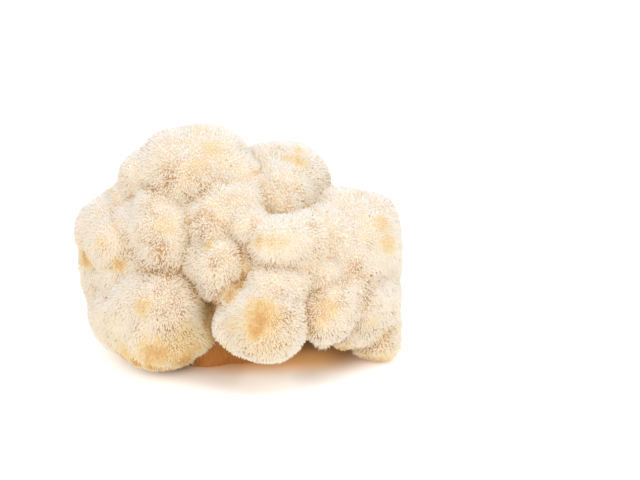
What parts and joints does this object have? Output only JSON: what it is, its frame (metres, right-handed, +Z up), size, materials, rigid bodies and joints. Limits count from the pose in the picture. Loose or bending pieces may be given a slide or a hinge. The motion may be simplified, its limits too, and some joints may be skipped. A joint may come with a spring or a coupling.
{
  "type": "lion's mane mushroom",
  "caption": "Picked lion's mane mushroom: a clump of rounded lobes covered in short soft spines, cut off flat at the base.",
  "frame": {"origin": "middle of the flat cut that the clump rests on", "axes": "+X along the clump's length, -Y to its front, +Z up out of the surface it rests on"},
  "size_m": [0.1605, 0.1198, 0.1151],
  "materials": {
    "flesh": "matt"
  },
  "bodies": {
    "root": {"fruiting_body": "flesh"}
  },
  "joints": []
}
